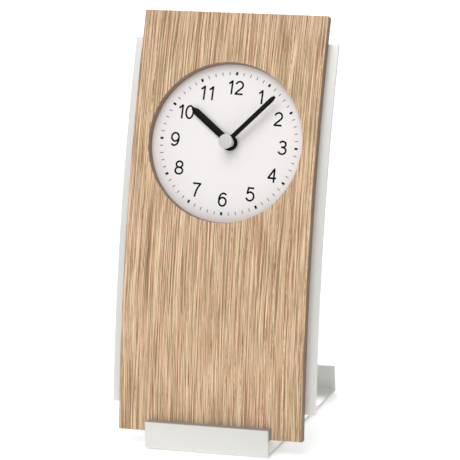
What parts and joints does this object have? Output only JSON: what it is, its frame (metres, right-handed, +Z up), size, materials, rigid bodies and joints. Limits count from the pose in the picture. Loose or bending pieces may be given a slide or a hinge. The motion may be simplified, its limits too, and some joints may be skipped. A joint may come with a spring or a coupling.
{
  "type": "mantel clock",
  "caption": "Free-standing mantel clock: a bowed wooden front with a round dial on a light metal back plate, in a bent metal foot, with a quartz movement behind.",
  "frame": {"origin": "middle of the clock's footprint, on the surface it stands on", "axes": "+Z up, the dial faces -Y, +X to the right as seen from the front"},
  "size_m": [0.122, 0.1268, 0.2394],
  "materials": {
    "foot_metal": "satin",
    "felt": "matte",
    "grey_spacer": "matte",
    "screw_steel": "satin",
    "oak": "matte",
    "plate_aluminium": "satin",
    "dial_white": "satin",
    "black_plastic": "satin",
    "gasket_rubber": "matte",
    "core_iron": "satin",
    "copper_wire": "gloss",
    "board_green": "satin",
    "contact_steel": "satin",
    "battery_jacket": "gloss",
    "hand_black": "matte",
    "cap_silver": "satin",
    "arbor_brass": "satin",
    "white_plastic": "satin",
    "magnet": "satin"
  },
  "bodies": {
    "clock_body": {"foot_bracket": "foot_metal", "foot_pads": "felt", "lip_spacer": "grey_spacer", "lip_screws": "screw_steel", "lip_washers": "screw_steel", "wood_front_panel": "oak", "back_plate": "plate_aluminium", "panel_screws": "screw_steel", "dial_disc": "dial_white", "rear_strut": "foot_metal", "strut_foot_screws": "screw_steel", "strut_foot_nuts": "screw_steel", "strut_top_screws": "screw_steel", "movement_case": "black_plastic", "movement_gasket": "gasket_rubber", "movement_cover": "black_plastic", "cover_screws": "screw_steel", "movement_screws": "screw_steel", "mid_plate": "black_plastic", "stator": "core_iron", "stator_screws": "screw_steel", "coil_core": "core_iron", "coil_bobbin": "black_plastic", "coil_winding": "copper_wire", "circuit_board": "board_green", "driver_chip": "black_plastic", "quartz_crystal": "screw_steel", "battery_contact_positive": "contact_steel", "battery_contact_negative": "contact_steel"},
    "minute_work": {"minute_arbor": "arbor_brass", "clutch_spring": "contact_steel", "minute_hand": "hand_black", "hand_cap": "cap_silver"},
    "hour_work": {"hour_wheel": "white_plastic", "hour_hand": "hand_black"},
    "motion_work": {"motion_wheel": "white_plastic"},
    "setting_work": {"setting_shaft": "white_plastic", "setting_knob": "black_plastic"},
    "centre_train": {"centre_wheel": "white_plastic"},
    "third_train": {"third_wheel": "white_plastic"},
    "seconds_train": {"seconds_wheel": "white_plastic"},
    "step_train": {"step_wheel": "white_plastic"},
    "rotor": {"rotor_pinion": "white_plastic", "rotor_magnet": "magnet"},
    "battery_cell": {"battery": "battery_jacket"}
  },
  "joints": [
    {"name": "minute_turn", "type": "hinge", "parent": "clock_body", "child": "minute_work", "pos_m": [0.00225, -0.00239, 0.16619], "axis": [0, 0.9359, -0.3522], "continuous": true},
    {"name": "hour_turn", "type": "hinge", "parent": "clock_body", "child": "hour_work", "pos_m": [0.00225, -0.00239, 0.16619], "axis": [0, 0.9359, -0.3522], "continuous": true},
    {"name": "motion_turn", "type": "hinge", "parent": "clock_body", "child": "motion_work", "pos_m": [0.01185, -0.00239, 0.16619], "axis": [0, 0.9359, -0.3522], "continuous": true},
    {"name": "setting_turn", "type": "hinge", "parent": "clock_body", "child": "setting_work", "pos_m": [0.02055, -0.00382, 0.16239], "axis": [0, 0.9359, -0.3522], "continuous": true},
    {"name": "seconds_turn", "type": "hinge", "parent": "clock_body", "child": "seconds_train", "pos_m": [0.00225, -0.00239, 0.16619], "axis": [0, 0.9359, -0.3522], "continuous": true},
    {"name": "third_turn", "type": "hinge", "parent": "clock_body", "child": "third_train", "pos_m": [0.01061, -0.00033, 0.17167], "axis": [0, 0.9359, -0.3522], "continuous": true},
    {"name": "centre_turn", "type": "hinge", "parent": "clock_body", "child": "centre_train", "pos_m": [0.00225, -0.00239, 0.16619], "axis": [0, 0.9359, -0.3522], "continuous": true},
    {"name": "step_turn", "type": "hinge", "parent": "clock_body", "child": "step_train", "pos_m": [-0.00377, 0.00064, 0.17424], "axis": [0, 0.9359, -0.3522], "continuous": true},
    {"name": "rotor_turn", "type": "hinge", "parent": "clock_body", "child": "rotor", "pos_m": [-0.01001, 0.00191, 0.17761], "axis": [0, 0.9359, -0.3522], "continuous": true},
    {"name": "battery_slide", "type": "slide", "parent": "clock_body", "child": "battery_cell", "axis": [0, 0.9359, -0.3522], "range_m": [0, 0.03]}
  ],
  "couplings": [
    {"joint": "hour_turn", "follows": "minute_turn", "ratio": 0.083333},
    {"joint": "motion_turn", "follows": "minute_turn", "ratio": -0.33333},
    {"joint": "setting_turn", "follows": "minute_turn", "ratio": 1},
    {"joint": "third_turn", "follows": "seconds_turn", "ratio": -0.13333},
    {"joint": "centre_turn", "follows": "seconds_turn", "ratio": 0.016667},
    {"joint": "step_turn", "follows": "seconds_turn", "ratio": -6},
    {"joint": "rotor_turn", "follows": "seconds_turn", "ratio": 30}
  ]
}
